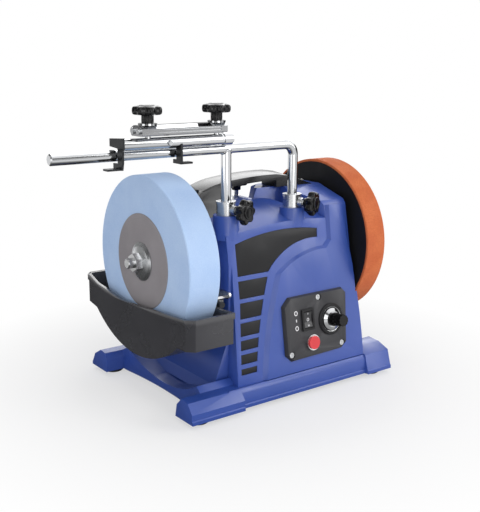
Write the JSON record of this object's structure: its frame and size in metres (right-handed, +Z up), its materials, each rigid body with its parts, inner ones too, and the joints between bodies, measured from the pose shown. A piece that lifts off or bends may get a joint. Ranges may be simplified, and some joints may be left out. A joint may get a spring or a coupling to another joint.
{
  "type": "wet grinding sharpener",
  "caption": "Two-wheel wet grinding sharpener with a water trough, leather honing wheel, height-adjustable support bar and a sliding blade-clamping jig.",
  "frame": {"origin": "on the floor, under the middle of the base", "axes": "+X along the spindle from the grinding wheel to the honing wheel, -Y to the front with the controls, +Z up"},
  "size_m": [0.442, 0.2519, 0.3519],
  "materials": {
    "housing": "semi-gloss moulded",
    "base_frame": "semi-gloss moulded",
    "bottom_cover": "matte",
    "rubber_feet": "matte",
    "front_trim": "fine grain",
    "control_plate": "fine grain",
    "plate_screws": "polished",
    "rocker_frame": "semi-gloss",
    "rocker_switch": "semi-gloss",
    "reset_breaker": "satin",
    "reset_button": "glossy",
    "dial_bezel": "semi-gloss",
    "speed_knob": "satin",
    "knob_skirt": "polished",
    "speed_control": "matte",
    "carry_handle": "satin",
    "handle_screws": "dark",
    "spindle": "ground",
    "spindle_bushes": "sintered",
    "drive_pulley": "turned",
    "drive_belt": "matte",
    "motor": "satin",
    "motor_bracket": "zinc-plated",
    "motor_shaft": "ground",
    "motor_pulley": "turned",
    "grinding_wheel": "fine grit, dull",
    "wheel_disc": "satin",
    "inner_flange": "turned",
    "outer_flange": "polished",
    "wheel_nut": "polished",
    "honing_core": "matte",
    "leather_tyre": "napped",
    "honing_nut": "zinc-plated",
    "water_trough": "satin",
    "trough_strap": "bright",
    "trough_guides": "polished",
    "trough_screw": "turned",
    "support_bar": "polished",
    "front_sleeves": "turned",
    "rear_sleeves": "turned",
    "front_knob_left": "glossy",
    "front_knob_right": "glossy",
    "rear_knob_left": "glossy",
    "rear_knob_right": "glossy",
    "jig_rod": "polished",
    "jig_hooks": "dark nickel",
    "jig_studs": "threaded",
    "jig_grub_screw": "polished",
    "jig_clamp_bar": "polished",
    "clamp_screws": "polished",
    "jig_knob_left": "glossy",
    "jig_knob_right": "glossy",
    "jig_washers": "polished",
    "cord_gland": "matte",
    "housing_screws": "zinc-plated"
  },
  "bodies": {
    "machine": {"housing": "housing", "base_frame": "base_frame", "bottom_cover": "bottom_cover", "rubber_feet": "rubber_feet", "front_trim": "front_trim", "control_plate": "control_plate", "plate_screws": "plate_screws", "rocker_frame": "rocker_frame", "reset_breaker": "reset_breaker", "dial_bezel": "dial_bezel", "speed_control": "speed_control", "carry_handle": "carry_handle", "handle_screws": "handle_screws", "spindle_bushes": "spindle_bushes", "drive_belt": "drive_belt", "motor": "motor", "motor_bracket": "motor_bracket", "trough_strap": "trough_strap", "trough_guides": "trough_guides", "front_sleeves": "front_sleeves", "rear_sleeves": "rear_sleeves", "cord_gland": "cord_gland", "housing_screws": "housing_screws"},
    "rocker": {"rocker_switch": "rocker_switch"},
    "reset": {"reset_button": "reset_button"},
    "speed_dial": {"speed_knob": "speed_knob", "knob_skirt": "knob_skirt"},
    "wheel_spindle": {"spindle": "spindle", "drive_pulley": "drive_pulley", "grinding_wheel": "grinding_wheel", "wheel_disc": "wheel_disc", "inner_flange": "inner_flange", "outer_flange": "outer_flange", "wheel_nut": "wheel_nut", "honing_core": "honing_core", "leather_tyre": "leather_tyre", "honing_nut": "honing_nut"},
    "motor_spindle": {"motor_shaft": "motor_shaft", "motor_pulley": "motor_pulley"},
    "trough": {"water_trough": "water_trough"},
    "trough_lock": {"trough_screw": "trough_screw"},
    "bar": {"support_bar": "support_bar"},
    "front_lock_left": {"front_knob_left": "front_knob_left"},
    "front_lock_right": {"front_knob_right": "front_knob_right"},
    "rear_lock_left": {"rear_knob_left": "rear_knob_left"},
    "rear_lock_right": {"rear_knob_right": "rear_knob_right"},
    "jig": {"jig_rod": "jig_rod", "jig_hooks": "jig_hooks", "jig_studs": "jig_studs", "jig_grub_screw": "jig_grub_screw"},
    "jig_clamp": {"jig_clamp_bar": "jig_clamp_bar", "clamp_screws": "clamp_screws", "jig_washers": "jig_washers"},
    "clamp_knob_left": {"jig_knob_left": "jig_knob_left"},
    "clamp_knob_right": {"jig_knob_right": "jig_knob_right"}
  },
  "joints": [
    {"name": "spindle_turn", "type": "hinge", "parent": "machine", "child": "wheel_spindle", "pos_m": [0, -0.01, 0.17], "axis": [1, 0, 0], "continuous": true},
    {"name": "motor_turn", "type": "hinge", "parent": "machine", "child": "motor_spindle", "pos_m": [0, 0.022, 0.082], "axis": [1, 0, 0], "continuous": true},
    {"name": "bar_height", "type": "slide", "parent": "machine", "child": "bar", "axis": [0, 0, 1], "range_m": [-0.025, 0.025]},
    {"name": "front_lock_left", "type": "hinge", "parent": "machine", "child": "front_lock_left", "pos_m": [-0.072, -0.065, 0.231], "axis": [0.2924, -0.9563, 0], "range_deg": [0, 1080]},
    {"name": "front_lock_right", "type": "hinge", "parent": "machine", "child": "front_lock_right", "pos_m": [0.026, -0.065, 0.231], "axis": [0.4226, -0.9063, 0], "range_deg": [0, 1080]},
    {"name": "rear_lock_left", "type": "hinge", "parent": "machine", "child": "rear_lock_left", "pos_m": [-0.072, 0.049, 0.209], "axis": [0, 0, 1], "range_deg": [0, 1080]},
    {"name": "rear_lock_right", "type": "hinge", "parent": "machine", "child": "rear_lock_right", "pos_m": [0.026, 0.049, 0.209], "axis": [0, 0, 1], "range_deg": [0, 1080]},
    {"name": "trough_drop", "type": "slide", "parent": "machine", "child": "trough", "axis": [0, 0, 1], "range_m": [-0.022, 0]},
    {"name": "trough_lock", "type": "hinge", "parent": "trough", "child": "trough_lock", "pos_m": [-0.094, -0.074, 0.1265], "axis": [0, -1, 0], "range_deg": [0, 720]},
    {"name": "jig_travel", "type": "slide", "parent": "bar", "child": "jig", "axis": [1, 0, 0], "range_m": [-0.05, 0.038]},
    {"name": "clamp_lift", "type": "slide", "parent": "jig", "child": "jig_clamp", "axis": [0, 0, 1], "range_m": [0, 0.006]},
    {"name": "clamp_knob_left", "type": "hinge", "parent": "jig_clamp", "child": "clamp_knob_left", "pos_m": [-0.1795, -0.076, 0.34], "axis": [0, 0, 1], "range_deg": [0, 1730]},
    {"name": "clamp_knob_right", "type": "hinge", "parent": "jig_clamp", "child": "clamp_knob_right", "pos_m": [-0.093, -0.076, 0.34], "axis": [0, 0, 1], "range_deg": [0, 1730]},
    {"name": "rocker_tilt", "type": "hinge", "parent": "machine", "child": "rocker", "pos_m": [0.021, -0.10515, 0.09291], "axis": [1, 0, 0], "range_deg": [-8, 8]},
    {"name": "reset_press", "type": "slide", "parent": "machine", "child": "reset", "axis": [0, 0.9877, -0.1564], "range_m": [0, 0.0016], "stiffness_N_per_m": 500},
    {"name": "speed_turn", "type": "hinge", "parent": "machine", "child": "speed_dial", "pos_m": [0.0578, -0.10602, 0.08741], "axis": [0, -0.9877, 0.1564], "range_deg": [-140, 140]}
  ],
  "couplings": [
    {"joint": "motor_turn", "follows": "spindle_turn", "ratio": 4.1818},
    {"joint": "clamp_knob_left", "follows": "clamp_lift", "rad_per_m": 5026.5},
    {"joint": "clamp_knob_right", "follows": "clamp_lift", "rad_per_m": 5026.5}
  ]
}
